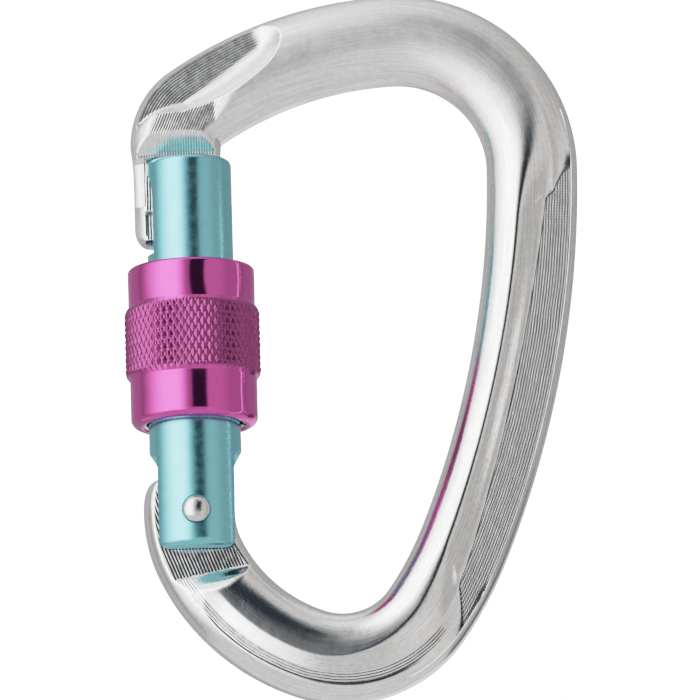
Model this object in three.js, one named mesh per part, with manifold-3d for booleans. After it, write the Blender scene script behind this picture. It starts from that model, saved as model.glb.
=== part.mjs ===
// Screw-gate locking carabiner: a forged D-shaped body, a tubular gate on a rivet, a keylock nose,
// a plunger and spring that close the gate, and a knurled sleeve that screws up over the nose.
// Units are millimetres. The model is drawn about the gate pivot (x towards the spine, y through the
// thickness, z along the closed gate towards the nose) and then moved so that its origin is the point
// inside the wide end where a rope or a bolt hanger bears.
import * as THREE from "three";
import { mergeVertices } from "three/addons/utils/BufferGeometryUtils.js";
import Module from "manifold-3d";

const wasm = await Module();
wasm.setup();

// ---------------------------------------------------------------- driving dimensions
const BAR_HALF_WIDTH = 6.9; // across the bar, in the plane of the body
const BAR_HALF_THICK = 5.5;
const BAR_ROUNDNESS = 2.15; // superellipse exponent of the bar's section
const BAR_START = { x: -1.6, z: 55.7, heading: 104 }; // bar centreline at the nose, heading in degrees
// Tangent arcs of the bar's centreline, clockwise from the nose.
const BAR_ARCS = [
  { radius: 6.8, sweep: 70, steps: 9 }, // nose
  { radius: 57, sweep: 31.8, steps: 6 }, // shoulder
  { radius: 20.3, sweep: 92.8, steps: 15 }, // crown, the wide end
  { radius: 152, sweep: 22.3, steps: 8 }, // spine
  { radius: 55, sweep: 12.6, steps: 3 }, // lower spine
  { radius: 15.2, sweep: 74.3, steps: 12 }, // foot, the narrow end
  { radius: 28.4, sweep: 45.3, steps: 6 }, // heel
  { radius: 17, sweep: 22, steps: 3 }, // root of the tongue
];
const BEARING_X = 31; // where a rope bears in the wide end, from the gate axis

const TONGUE_HALF_THICK = 3.6;
const TONGUE_CLEAR_RADIUS = 9.2; // room for the gate's cheeks to swing about the pivot
const RUNOUT = { x: 2.3, z: -5.9, radius: 7.4 }; // where the cutter that thins the tongue lifts out
const RIVET_RADIUS = 1.5;
const RIVET_HOLE = 1.75;
const RIVET_SEAT = 6.55; // half the distance between the spot faces under the rivet's heads
const RIVET_HEAD = 2.1;

const GATE_LOW = -5.5; // gate ends, measured along the gate from the pivot
const GATE_HIGH = 54.9;
const GATE_RADIUS = 6.5;
const GATE_ROOT_RADIUS = 6.95; // the thicker lower half of the barrel
const GATE_SLOT_HALF = 3.95; // half the width of the slot that straddles the tongue
const GATE_SLOT_TOP = 10;
const SPRING_BORE = 2.75;
const SPRING_BORE_TOP = 34.5;

const NOSE_REACH = 55.5; // radius about the pivot where the nose's base ends, just past the gate
const NOSE_FLAT_HALF = 2.6;
// Radii about the pivot between which the nose's flats curve up into its milled facet.
const COVE = { low: 55.9, high: 58.6 };
// The facet's half thickness at its two ends, and the radius where it ends.
const FACET = { low: 4.5, high: 5, end: 63 };
const NECK_HALF = 1.3; // keylock nose: a thin neck, a wide head, and a rim down its outside
const HEAD_HALF = 3.05;
const NOSE_TIP = 41.6;
const HEAD_TOP = 47.6;
const NOSE_OUTSIDE = -8.3;
const NOSE_ROUND = 8.35;
const NOSE_INSIDE = -2.2;
const NOSE_RIM = 0.9; // width of the rim
const TIP_ROUND = 2; // rounding of the nose's tip on its outside
const FIT = 0.4; // clearance of the nose in the gate

const RECESS_HALF = 2.5; // half the web left between the forged recesses
// Each recess's floor: how far it reaches from the centreline, and where it starts and ends along it.
const SPINE_RECESS = { inner: -0.6, outer: 5.85, start: [78, 71], end: [140, 146], steps: 16 };
const NOSE_RECESS = { inner: 1.5, outer: 6, start: [6, 4.5], end: [16, 22], steps: 6 };

const SLEEVE_LOW = 13.9;
const SLEEVE_HIGH = 38.2;
const SLEEVE_RADIUS = 9.6;
const KNURL = { low: 21.5, high: 31.75, radius: 10.25 };
const THREAD_PITCH = 2;
const THREAD = { root: 6.5, crest: 7.5, low: 25.2, high: 34.4 };
const NUT = { root: 7.9, crest: 7.05, low: 20.9, high: 27.4 };
const RING = { inner: 7.2, outer: 8.05, low: 14.1, high: 14.95, lip: 7.75, play: 0.1 };

const PLUNGER_RADIUS = 1.6;
const CAM_RISE = 2.4; // mm that the plunger is pushed in for each radian the gate opens
const CAM_START = 7.2; // distance of the plunger tip's centre from the pivot when the gate is shut
const CAM_OPEN = 40; // degrees
const GAP = 0.3; // between the plunger and the cam
const CUTTER = { x: 20, y: 10 }; // how far the cutters stand out, past every piece

// ---------------------------------------------------------------- curves
const degrees = THREE.MathUtils.degToRad;

// The bar's centreline: arcs that run on from one another, measured by the distance along them.
class BarCentreline extends THREE.Curve {
  constructor() {
    super();
    this.arcs = [];
    this.steps = 0;
    this.length = 0;
    let { x, z } = BAR_START;
    let heading = degrees(BAR_START.heading);
    for (const { radius, sweep, steps } of BAR_ARCS) {
      const length = radius * degrees(sweep);
      const cx = x + radius * Math.sin(heading);
      const cz = z - radius * Math.cos(heading);
      this.arcs.push({ from: this.length, fromStep: this.steps, length, steps, radius, heading, cx, cz });
      heading -= degrees(sweep);
      x = cx - radius * Math.sin(heading);
      z = cz + radius * Math.cos(heading);
      this.length += length;
      this.steps += steps;
    }
  }
  at(distance) {
    const arc = this.arcs.findLast((a) => a.from <= distance) ?? this.arcs[0];
    const heading = arc.heading - (distance - arc.from) / arc.radius;
    return {
      x: arc.cx - arc.radius * Math.sin(heading),
      z: arc.cz + arc.radius * Math.cos(heading),
      heading,
    };
  }
  // A point beside the centreline, outward positive.
  beside(distance, outward) {
    const { x, z, heading } = this.at(distance);
    return new THREE.Vector2(x - outward * Math.sin(heading), z + outward * Math.cos(heading));
  }
  // Equal steps of u share out each arc's own steps, so that the tight arcs are cut finer.
  atStep(u) {
    const step = u * this.steps;
    const arc = this.arcs.findLast((a) => a.fromStep <= step + 1e-9);
    return this.at(Math.min(arc.from + (arc.length * (step - arc.fromStep)) / arc.steps, this.length));
  }
  getPointAt(u, target = new THREE.Vector3()) {
    const { x, z } = this.atStep(u);
    return target.set(x, 0, z);
  }
  getTangentAt(u, target = new THREE.Vector3()) {
    const { heading } = this.atStep(u);
    return target.set(Math.cos(heading), 0, Math.sin(heading));
  }
}
const bar = new BarCentreline();

// ---------------------------------------------------------------- solids
function solid(geometry) {
  const bare = geometry.index ? geometry.toNonIndexed() : geometry.clone();
  for (const name of Object.keys(bare.attributes)) {
    if (name !== "position") bare.deleteAttribute(name);
  }
  const merged = mergeVertices(bare, 1e-4);
  return new wasm.Manifold(
    new wasm.Mesh({
      numProp: 3,
      vertProperties: merged.attributes.position.array,
      triVerts: new Uint32Array(merged.index.array),
    }),
  );
}

function geometryOf(manifold) {
  const { numProp, numVert, vertProperties, triVerts } = manifold.getMesh();
  const points = new Float32Array(numVert * 3);
  for (let i = 0; i < numVert; i++) {
    points.set(vertProperties.subarray(i * numProp, i * numProp + 3), i * 3);
  }
  const geometry = new THREE.BufferGeometry();
  geometry.setAttribute("position", new THREE.BufferAttribute(points, 3));
  geometry.setIndex(new THREE.BufferAttribute(triVerts, 1));
  geometry.computeVertexNormals();
  return geometry;
}

// A shape drawn in x and z, standing from y = low to y = high.
function slab(shape, low, high, curveSegments = 12) {
  const geometry = new THREE.ExtrudeGeometry(shape, {
    depth: high - low,
    bevelEnabled: false,
    curveSegments,
  });
  return solid(geometry.rotateX(Math.PI / 2).translate(0, high, 0));
}

function box(x0, x1, y0, y1, z0, z1) {
  const geometry = new THREE.BoxGeometry(x1 - x0, y1 - y0, z1 - z0);
  return solid(geometry.translate((x0 + x1) / 2, (y0 + y1) / 2, (z0 + z1) / 2));
}

// A round bar along y.
function crossBar(radius, x, z, low, high, segments) {
  const geometry = new THREE.CylinderGeometry(radius, radius, high - low, segments);
  return solid(geometry.translate(x, (low + high) / 2, z));
}

// A round cutter about the pivot, right through the thickness.
function throughPivot(radius, segments) {
  return crossBar(radius, 0, 0, -CUTTER.y, CUTTER.y, segments);
}

// A solid of revolution about the gate axis, from a profile of [radius, z] pairs.
function turned(profile, segments = 40) {
  const points = profile.map(([r, z]) => new THREE.Vector2(r, z));
  return solid(new THREE.LatheGeometry(points, segments).rotateX(Math.PI / 2));
}

// The same cut made on the front and the back, from a distance off the middle plane outwards.
function bothSides(make, from) {
  return make(from, CUTTER.y).add(make(-CUTTER.y, -from));
}

function quarter(cx, cz, radius, from, steps = 4) {
  return Array.from({ length: steps + 1 }, (_, i) => {
    const angle = degrees(from + (90 * i) / steps);
    return [cx + radius * Math.cos(angle), cz + radius * Math.sin(angle)];
  });
}

// ---------------------------------------------------------------- body
function barSection() {
  const corners = 20;
  const bend = (v) => Math.sign(v) * Math.abs(v) ** (2 / BAR_ROUNDNESS);
  const points = Array.from({ length: corners }, (_, i) => {
    const angle = (2 * Math.PI * (i + 0.5)) / corners;
    return new THREE.Vector2(
      BAR_HALF_THICK * bend(Math.cos(angle)),
      BAR_HALF_WIDTH * bend(Math.sin(angle)),
    );
  });
  return new THREE.Shape(points);
}

function forgedBar() {
  return solid(
    new THREE.ExtrudeGeometry(barSection(), {
      steps: bar.steps,
      bevelEnabled: false,
      extrudePath: bar,
    }),
  );
}

// Forged recesses on the front and back leave a web, a thin outer rim and the round rope side.
function recess({ inner, outer, start, end, steps }) {
  const along = (outward, from, to) =>
    Array.from({ length: steps + 1 }, (_, i) =>
      bar.beside(THREE.MathUtils.lerp(from, to, i / steps), outward),
    );
  const floor = new THREE.Shape([
    ...along(inner, start[0], end[0]),
    ...along(outer, end[1], start[1]),
  ]);
  return bothSides((low, high) => slab(floor, low, high), RECESS_HALF);
}

// The tongue's end outline: its top is a spiral cam, which drives the plunger in as the gate opens.
function tongueShape() {
  const cam = [];
  for (let angle = CAM_OPEN + 6; angle >= -10; angle -= 4) {
    const turn = degrees(angle);
    const reach = CAM_START + CAM_RISE * turn;
    const tip = new THREE.Vector2(reach * Math.sin(turn), reach * Math.cos(turn));
    const along = new THREE.Vector2(
      CAM_RISE * Math.sin(turn) + reach * Math.cos(turn),
      CAM_RISE * Math.cos(turn) - reach * Math.sin(turn),
    ).normalize();
    const inset = PLUNGER_RADIUS + GAP;
    cam.push(new THREE.Vector2(tip.x + along.y * inset, tip.y - along.x * inset));
  }
  const shape = new THREE.Shape();
  shape.moveTo(8.2, -6.5);
  shape.quadraticCurveTo(6.2, -2.5, 5.6, 2.6);
  shape.quadraticCurveTo(5.5, 4.4, cam[0].x, cam[0].y);
  cam.slice(1).forEach((p) => shape.lineTo(p.x, p.y));
  shape.lineTo(-5.2, 5.6);
  shape.quadraticCurveTo(-7.7, 5, -7.9, 1);
  shape.quadraticCurveTo(-7.8, -3, -6.6, -6);
  return shape;
}

function keylockNose() {
  const neck = new THREE.Shape();
  neck.moveTo(NOSE_OUTSIDE, 60);
  neck.lineTo(NOSE_OUTSIDE, NOSE_TIP + TIP_ROUND + 0.4);
  neck.quadraticCurveTo(NOSE_OUTSIDE + 0.3, NOSE_TIP, NOSE_OUTSIDE + TIP_ROUND, NOSE_TIP);
  neck.lineTo(NOSE_INSIDE - 1, NOSE_TIP);
  neck.quadraticCurveTo(NOSE_INSIDE, NOSE_TIP, NOSE_INSIDE, NOSE_TIP + 1);
  neck.lineTo(NOSE_INSIDE, 57);
  neck.lineTo(NOSE_INSIDE - 1, 60);
  const headLevel = box(-CUTTER.x, CUTTER.x, -CUTTER.y, CUTTER.y, NOSE_TIP - 1, HEAD_TOP);
  const rim = new THREE.Shape();
  rim.moveTo(NOSE_OUTSIDE, 60);
  rim.lineTo(NOSE_OUTSIDE, NOSE_TIP + TIP_ROUND);
  rim.lineTo(NOSE_OUTSIDE + NOSE_RIM, NOSE_TIP + TIP_ROUND);
  rim.lineTo(NOSE_OUTSIDE + NOSE_RIM, 60);
  // The sleeve passes over the lower nose, so its outside is rounded to the sleeve's bore.
  const inSleeve = turned([[0, 30], [NOSE_ROUND, 30], [NOSE_ROUND, 49], [12, 53], [12, 70], [0, 70]]);
  return slab(neck, -NECK_HALF, NECK_HALF, 4)
    .add(slab(neck, -HEAD_HALF, HEAD_HALF, 4).intersect(headLevel))
    .add(slab(rim, -HEAD_HALF, HEAD_HALF))
    .intersect(inSleeve);
}

// What is milled off the front and back of the nose: flats, a cove and a facet, all round the pivot.
function noseMilling() {
  const profile = [
    [0, NOSE_FLAT_HALF],
    [COVE.low, NOSE_FLAT_HALF],
    [COVE.high, FACET.low],
    [FACET.end, FACET.high],
    [FACET.end, CUTTER.y],
    [0, CUTTER.y],
  ];
  const mirrored = profile.map(([r, y]) => [r, -y]).reverse();
  const cutter = (side) => {
    const points = side.map(([r, y]) => new THREE.Vector2(r, y));
    return solid(new THREE.LatheGeometry(points, 144));
  };
  return cutter(profile).add(cutter(mirrored));
}

// The thin web between the nose's flats, filled out to its inner corner.
function noseWeb() {
  const web = new THREE.Shape();
  web.moveTo(-7.6, 52);
  web.lineTo(4.9, 52);
  web.lineTo(4.9, 55.6);
  web.quadraticCurveTo(5.5, 57.4, 7.4, 58.7);
  web.lineTo(4, 63);
  web.lineTo(-5, 62);
  web.lineTo(-7.6, 58);
  return slab(web, -NOSE_FLAT_HALF, NOSE_FLAT_HALF, 3);
}

function body() {
  const noseArea = box(-CUTTER.x, 10, -CUTTER.y, CUTTER.y, 30, FACET.end + 1);
  const gateRoom = throughPivot(NOSE_REACH, 144).intersect(noseArea);
  const tongueFlats = bothSides(
    (low, high) =>
      crossBar(TONGUE_CLEAR_RADIUS, 0, 0, low, high, 48).add(
        crossBar(RUNOUT.radius, RUNOUT.x, RUNOUT.z, low, high, 48),
      ),
    TONGUE_HALF_THICK,
  );
  return forgedBar()
    .add(slab(tongueShape(), -TONGUE_HALF_THICK, TONGUE_HALF_THICK, 5))
    .subtract(noseMilling().intersect(noseArea))
    .add(noseWeb())
    .subtract(gateRoom)
    .add(keylockNose())
    .subtract(tongueFlats)
    .subtract(recess(SPINE_RECESS))
    .subtract(recess(NOSE_RECESS))
    .subtract(throughPivot(RIVET_HOLE, 24));
}

// ---------------------------------------------------------------- screw thread
// A ridge wound round the gate axis: its root sinks a little into the wall that carries it.
class ThreadRidge extends THREE.BufferGeometry {
  constructor(root, crest, low, high, phase) {
    super();
    const stepsPerTurn = 24;
    const sink = Math.sign(root - crest) * 0.15;
    const section = [
      [root + sink, -0.66],
      [crest, -0.25],
      [crest, 0.25],
      [root + sink, 0.66],
    ];
    const steps = Math.round((stepsPerTurn * (high - low)) / THREAD_PITCH);
    const points = [];
    for (let i = 0; i <= steps; i++) {
      const turn = i / stepsPerTurn;
      const angle = 2 * Math.PI * (turn + phase);
      for (const [radius, rise] of section) {
        points.push(radius * Math.cos(angle), radius * Math.sin(angle), low + THREAD_PITCH * turn + rise);
      }
    }
    const faces = [];
    const quad = (a, b, c, d) => faces.push(a, b, c, a, c, d);
    for (let i = 0; i < steps; i++) {
      for (let k = 0; k < 4; k++) {
        const a = i * 4 + k;
        const b = i * 4 + ((k + 1) % 4);
        quad(a, a + 4, b + 4, b);
      }
    }
    quad(0, 1, 2, 3);
    quad(steps * 4 + 3, steps * 4 + 2, steps * 4 + 1, steps * 4);
    if (root > crest) faces.reverse();
    this.setAttribute("position", new THREE.Float32BufferAttribute(points, 3));
    this.setIndex(faces);
  }
}

// ---------------------------------------------------------------- gate
function gateBarrel() {
  const outside = turned([
    [0, GATE_LOW],
    [GATE_ROOT_RADIUS - 1.3, GATE_LOW],
    ...quarter(GATE_ROOT_RADIUS - 1.3, GATE_LOW + 1.3, 1.3, -90, 3).slice(1),
    [GATE_ROOT_RADIUS, 19.9],
    [GATE_RADIUS, 20.3],
    ...quarter(GATE_RADIUS - 1, GATE_HIGH - 1, 1, 0, 3),
    [0, GATE_HIGH],
  ]);
  const slotShoulder = GATE_SLOT_TOP - GATE_SLOT_HALF / 2;
  const slotEnd = new THREE.CylinderGeometry(GATE_SLOT_HALF, GATE_SLOT_HALF, 2 * CUTTER.x, 24)
    .rotateZ(Math.PI / 2)
    .scale(1, 1, 0.5)
    .translate(0, 0, slotShoulder);
  const slot = box(
    -CUTTER.x, CUTTER.x, -GATE_SLOT_HALF, GATE_SLOT_HALF, GATE_LOW - 1, slotShoulder,
  ).add(solid(slotEnd));
  const bore = solid(
    new THREE.CylinderGeometry(SPRING_BORE, SPRING_BORE, SPRING_BORE_TOP - 5, 20)
      .rotateX(Math.PI / 2)
      .translate(0, 0, (SPRING_BORE_TOP + 5) / 2),
  );
  const slotFor = (half, top) =>
    box(-CUTTER.x, NOSE_INSIDE + FIT, -half - FIT, half + FIT, NOSE_TIP - 1 - FIT, top);
  const neckSlot = slotFor(NECK_HALF, GATE_HIGH + 1);
  const headPocket = slotFor(HEAD_HALF, HEAD_TOP + 0.6);
  const spotFaces = bothSides((low, high) => crossBar(RIVET_HEAD + 0.1, 0, 0, low, high, 24), RIVET_SEAT);
  return outside
    .add(solid(new ThreadRidge(THREAD.root, THREAD.crest, THREAD.low, THREAD.high, 0)))
    .subtract(slot)
    .subtract(bore)
    .subtract(neckSlot)
    .subtract(headPocket)
    .subtract(spotFaces)
    .subtract(throughPivot(RIVET_HOLE, 24));
}

function gateRivet() {
  const under = RIVET_SEAT + 0.05;
  const dome = 1.35;
  const halfProfile = [
    [RIVET_RADIUS, under],
    [RIVET_HEAD, under],
    [RIVET_HEAD, under + 0.15],
    [RIVET_HEAD * 0.92, under + dome * 0.5],
    [RIVET_HEAD * 0.6, under + dome * 0.88],
    [0, under + dome],
  ];
  const mirrored = halfProfile.map(([r, z]) => [r, -z]).reverse();
  const points = [...mirrored, ...halfProfile].map(([r, z]) => new THREE.Vector2(r, z));
  return solid(new THREE.LatheGeometry(points, 24));
}

// ---------------------------------------------------------------- closing spring and plunger
const FLANGE = { low: CAM_START + 5.6, high: CAM_START + 6.5, radius: 2.4 };
const SPRING = { wire: 0.35, mean: 1.95, turns: 9, low: FLANGE.high + 0.4, high: SPRING_BORE_TOP - 0.5 };

class Coil extends THREE.Curve {
  getPoint(t, target = new THREE.Vector3()) {
    const angle = 2 * Math.PI * SPRING.turns * t;
    return target.set(
      SPRING.mean * Math.cos(angle),
      SPRING.mean * Math.sin(angle),
      THREE.MathUtils.lerp(SPRING.low + SPRING.wire, SPRING.high - SPRING.wire, t),
    );
  }
}

function closingSpring() {
  const wire = Array.from({ length: 6 }, (_, i) => {
    const angle = (2 * Math.PI * i) / 6;
    return new THREE.Vector2(SPRING.wire * Math.cos(angle), SPRING.wire * Math.sin(angle));
  });
  return solid(
    new THREE.ExtrudeGeometry(new THREE.Shape(wire), {
      steps: 12 * SPRING.turns,
      bevelEnabled: false,
      extrudePath: new Coil(),
    }),
  );
}

function springPlunger() {
  const tip = quarter(0, CAM_START, PLUNGER_RADIUS, -90, 4);
  return turned(
    [
      ...tip,
      [PLUNGER_RADIUS, FLANGE.low],
      [FLANGE.radius, FLANGE.low],
      [FLANGE.radius, FLANGE.high],
      [1.1, FLANGE.high],
      [1.1, FLANGE.high + 4],
      [0.7, FLANGE.high + 4.5],
      [0, FLANGE.high + 4.5],
    ],
    20,
  );
}

// ---------------------------------------------------------------- locking sleeve
function lockingSleeve() {
  const round = 1.3;
  const mouth = 7.55;
  const groove = RING.outer + RING.play;
  const noseRoom = 8.65; // the sleeve passes over the outside of the nose when it locks
  const shell = turned(
    [
      [RING.lip, SLEEVE_LOW],
      ...quarter(SLEEVE_RADIUS - round, SLEEVE_LOW + round, round, -90, 3),
      [SLEEVE_RADIUS, KNURL.low - 0.5],
      [KNURL.radius, KNURL.low],
      [KNURL.radius, KNURL.high],
      [SLEEVE_RADIUS, KNURL.high + 0.5],
      ...quarter(SLEEVE_RADIUS - 0.6, SLEEVE_HIGH - 0.6, 0.6, 0, 3),
      [noseRoom, SLEEVE_HIGH],
      [noseRoom, NUT.high + 1.2],
      [NUT.root, NUT.high + 0.7],
      [NUT.root, NUT.low - 0.8],
      [mouth, NUT.low - 1.2],
      [mouth, RING.high + RING.play],
      [groove, RING.high + RING.play],
      [groove, RING.low - RING.play / 2],
      [RING.lip, RING.low - RING.play / 2],
      [RING.lip, SLEEVE_LOW],
    ],
    44,
  );
  // The nut's ridge runs half a pitch from the gate's.
  const turnsApart = (NUT.low - THREAD.low) / THREAD_PITCH;
  const phase = turnsApart - Math.floor(turnsApart) + 0.5;
  return shell.add(solid(new ThreadRidge(NUT.root, NUT.crest, NUT.low, NUT.high, phase)));
}

function retainingRing() {
  const ring = turned(
    [
      [RING.inner, RING.low],
      [RING.outer, RING.low],
      [RING.outer, RING.high],
      [RING.inner, RING.high],
      [RING.inner, RING.low],
    ],
    40,
  );
  return ring.subtract(box(5, 10, -0.6, 0.6, RING.low - 1, RING.high + 1)); // the split that lets it snap in
}

// ---------------------------------------------------------------- assembly
const FINISH = {
  polished: { color: 0xd9d9d6, roughness: 0.22, metalness: 1 },
  teal: { color: 0x3fa9b5, roughness: 0.32, metalness: 0.9 },
  magenta: { color: 0xb32b8f, roughness: 0.2, metalness: 0.9 },
  steel: { color: 0xb9b6b2, roughness: 0.25, metalness: 1 },
};

const carabiner = new THREE.Group();
const crown = bar.arcs[2];
carabiner.position.set(-BEARING_X, 0, -(crown.cz + crown.radius - BAR_HALF_WIDTH));

for (const [name, make, finish] of [
  ["body", body, FINISH.polished],
  ["gate_barrel", gateBarrel, FINISH.teal],
  ["gate_rivet", gateRivet, FINISH.steel],
  ["closing_spring", closingSpring, FINISH.steel],
  ["spring_plunger", springPlunger, FINISH.steel],
  ["locking_sleeve", lockingSleeve, FINISH.magenta],
  ["retaining_ring", retainingRing, FINISH.steel],
]) {
  const mesh = new THREE.Mesh(geometryOf(make()), new THREE.MeshStandardMaterial(finish));
  mesh.name = name;
  carabiner.add(mesh);
}

export default carabiner;
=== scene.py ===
"""Looks of a screw-gate locking carabiner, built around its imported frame. Lengths are in metres in Blender;
the shape functions below work in millimetres about the gate's pivot, with x towards the spine and z along
the closed gate towards the nose."""
import math

import bmesh
import bpy
import numpy as np
from mathutils import Matrix, Vector


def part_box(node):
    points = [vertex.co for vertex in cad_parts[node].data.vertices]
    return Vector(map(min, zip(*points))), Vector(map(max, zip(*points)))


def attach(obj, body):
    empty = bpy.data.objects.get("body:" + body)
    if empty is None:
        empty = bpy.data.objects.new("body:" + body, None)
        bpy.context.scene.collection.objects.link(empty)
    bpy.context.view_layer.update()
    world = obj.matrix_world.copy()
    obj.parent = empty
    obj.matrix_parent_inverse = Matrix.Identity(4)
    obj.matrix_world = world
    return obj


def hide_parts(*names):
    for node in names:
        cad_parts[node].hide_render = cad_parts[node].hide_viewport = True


MM = 0.001

# ---------------------------------------------------------------- body: driving dimensions, mm
HALF_WIDTH = 6.9
HALF_THICK = 5.45
ROUNDNESS = 2.15  # power of the rounded curve that the bar's section follows
BAR_START = (-1.6, 55.7, 104.0)  # x, z and heading in degrees of the centreline at the nose
# radius and sweep of each arc of the bar's centreline, clockwise from the nose
BAR_ARCS = [
    (6.8, 70.0),
    (57.0, 31.8),
    (20.3, 92.8),
    (152.0, 22.3),
    (55.0, 12.6),
    (15.2, 74.3),
    (28.4, 45.3),
    (17.0, 24.9),
]
FIRST_RADIAL = 1.42  # distance along the bar of the first section that stands square to it
COLUMNS = 141  # points across the bar on each face
KNEE = (COLUMNS - 1) // 2  # the nose has only the columns from this one outwards
WEB_ROWS = 14  # rows of points between the ledge and the first square section

# distances along the bar between which each feature can shape it
NOSE_LAST = 40.0
SPINE_FIRST = 55.0
HEEL_FIRST = 126.0
TONGUE_FIRST = 165.0

LEDGE_RADIUS = 55.5  # underside of the nose, about the pivot
LEDGE_SIDES = (4.9, -8.45)  # x of its inner and outer ends
COVE_RADIUS = 55.9  # where the thin web under the nose starts to curve up
COVE_SLOPE = 0.74
FACET_RADIUS = 58.6  # where that cove meets the milled facet
FACET_STEP = 1.95  # how far the facet stands above the web
WEB_HALF = 2.6
NECK_HALF = 1.3
HEAD_HALF = 3.05
HEAD_TOP = 47.85
NOSE_TIP = 41.6
NOSE_INSIDE = -2.2
NOSE_OUTSIDE = -8.3
NOSE_EDGE = 1.9  # width over which the nose thins out to its outer edge
TIP_LENGTH = 0.8  # length over which it thins out to its tip

RIM = 0.95  # width of the thin rim left along the outside of every recess
RIM_SLOPE = 9.0  # steepness of the wall up to it
FLOOR_HALF = 2.5  # half the web between the forged recesses
FLOOR_LEAN = 0.045  # rise of their floors per mm outwards
SPINE_MIDDLE = 108.0  # distance along the bar where the recess is widest
SLOPE_RISE = 2.65  # from the spine's floor up to the crease
FLOOR_ENDS = (73.5, 137.8)  # distances along the bar between which the spine's floor lies
FLOOR_FADES = (14.0, 16.0)  # lengths over which the recess runs out past those ends
HEEL_STEP = (146.0, 156.0)  # where a narrow level strip comes in on the heel's sloping face

TONGUE_HALF = 3.6
TONGUE_TOP = (5.15, 5.35, 5.6)  # height of the tongue's end: inner corner, middle, outer corner
TONGUE_SIDES = (4.9, -5.3)  # x of its inner and outer corners
TONGUE_LENGTH = 5.0  # about how far it goes on past the end of the bar
TONGUE_ROUND = 0.4  # rounding of the edges at its end
SHOULDER_Z = -9.5  # height at x = 0 of the line where its hollow shoulder starts
SHOULDER_DOWN = (0.196, -0.98)  # x and z of the direction that leads down from that line


class Bar:
    """The bar's centreline as tangent arcs, measured by the distance along it."""

    def __init__(self):
        x, z, heading = BAR_START
        h = math.radians(heading)
        self.arcs = []
        self.length = 0.0
        for radius, sweep in BAR_ARCS:
            cx = x + radius * math.sin(h)
            cz = z - radius * math.cos(h)
            self.arcs.append((self.length, radius, h, cx, cz))
            h -= math.radians(sweep)
            x = cx - radius * math.sin(h)
            z = cz + radius * math.cos(h)
            self.length += radius * math.radians(sweep)

    def at(self, s):
        start, radius, h, cx, cz = [arc for arc in self.arcs if arc[0] <= max(s, 0.0)][-1]
        heading = h - (s - start) / radius
        x = cx - radius * math.sin(heading)
        z = cz + radius * math.cos(heading)
        return x, z, heading

    def across(self, s, outward):
        x, z, heading = self.at(s)
        return np.stack([x - outward * math.sin(heading), z + outward * math.cos(heading)], axis=-1)


BAR = Bar()


# ---------------------------------------------------------------- small numeric helpers
def smooth_min(a, b, k):
    """The lower of two surfaces, with a fillet of about k where they meet."""
    d = np.clip(0.5 + 0.5 * (b - a) / k, 0.0, 1.0)
    return b * (1 - d) + a * d - k * d * (1 - d)


def ease(x, low, high):
    """0 at low rising smoothly to 1 at high, which may be the smaller of the two."""
    t = np.clip((x - low) / (high - low), 0.0, 1.0)
    return t * t * (3 - 2 * t)


def above(x):
    return np.maximum(x, 0.0)


def spans(*parts):
    """Distances from one end to the other, each part given as (end, step)."""
    out = [parts[0]]
    for end, step in parts[1:]:
        count = max(1, round((end - out[-1]) / step))
        out.extend(np.linspace(out[-1], end, count + 1)[1:])
    return out


# ---------------------------------------------------------------- body: half thickness over its outline
def spine_borders(s):
    """Across the bar, where the spine's recess starts (its crease) and where its flat floor starts."""
    bow = (s - SPINE_MIDDLE) ** 2
    return min(-2.5 + 0.001 * bow, -1.25), 0.4 + 0.0018 * bow


def spine_recess(s, u):
    """Forged recess along the spine: a crease, a hollow slope, a flat floor and a rim."""
    crease, floor_edge = spine_borders(s)
    up = np.minimum(above(floor_edge - u) / (floor_edge - crease), 1.0)
    wall = FLOOR_HALF + SLOPE_RISE * up * (0.6 + up * (1.25 - 0.85 * up)) + 0.55 * above(crease - u)
    wall = wall + FLOOR_LEAN * (u - 3.0) * (1 - up)
    return wall + RIM_SLOPE * above(u - (HALF_WIDTH - RIM - 0.1))


def past_spine_floor(s, u):
    """How far a point lies beyond the floor's upper end, and beyond its lower end."""
    # between these two, across the bar, the upper end is curved, and further in it slants
    outer, inner = 5.7, 3.1
    upper = FLOOR_ENDS[0] + 0.5 * np.clip(outer - u, 0, outer - inner) ** 2 + 0.85 * above(inner - u)
    return above(upper - s), above(s - FLOOR_ENDS[1] - 1.3 * (u - 1.9))


def heel_face(s, u):
    """Past the spine's recess its crease runs on round the heel, with a sloping face outside it."""
    slope = 0.36
    crease = spine_borders(s)[0] + 2.1 * ease(s, 143.0, 165.0)
    there = ease(s, HEEL_FIRST, 138.0) * ease(s, 188.0, 176.0)
    top = round_bar(crease / HALF_WIDTH) - 0.03
    step = slope * np.clip(u - 4.2, 0, 0.6) * ease(s, *HEEL_STEP)
    return top + 0.4 * (1 - there) - slope * there * above(u - crease) + step


def nose_borders(s):
    """Across the bar, where the nose's recess starts (its ridge) and where its flat floor starts."""
    ridge_middle, floor_corner = 12.0, 7.4
    bend = 0.05 if s < ridge_middle else 0.0215
    ridge = -1.6 + bend * (s - ridge_middle) ** 2 + 1.3 * max(6.0 - s, 0.0)
    floor_edge = 1.65 + (0.0112 * (s - floor_corner) ** 2 if s > floor_corner else floor_corner - s)
    return ridge, floor_edge


def nose_recess(s, u):
    """Forged recess on the outside of the nose, closed by a curved ridge on its inner side."""
    ridge, floor_edge = nose_borders(s)
    across = above(floor_edge - u) / max(floor_edge - ridge, 0.8)
    end = max(s - 20.5, 0.0) / 4.6
    lean = FLOOR_LEAN * (u - 3.8)
    return FLOOR_HALF + lean + 2.8 * (across**2 + end**2) + RIM_SLOPE * above(u - (HALF_WIDTH - RIM))


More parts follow.
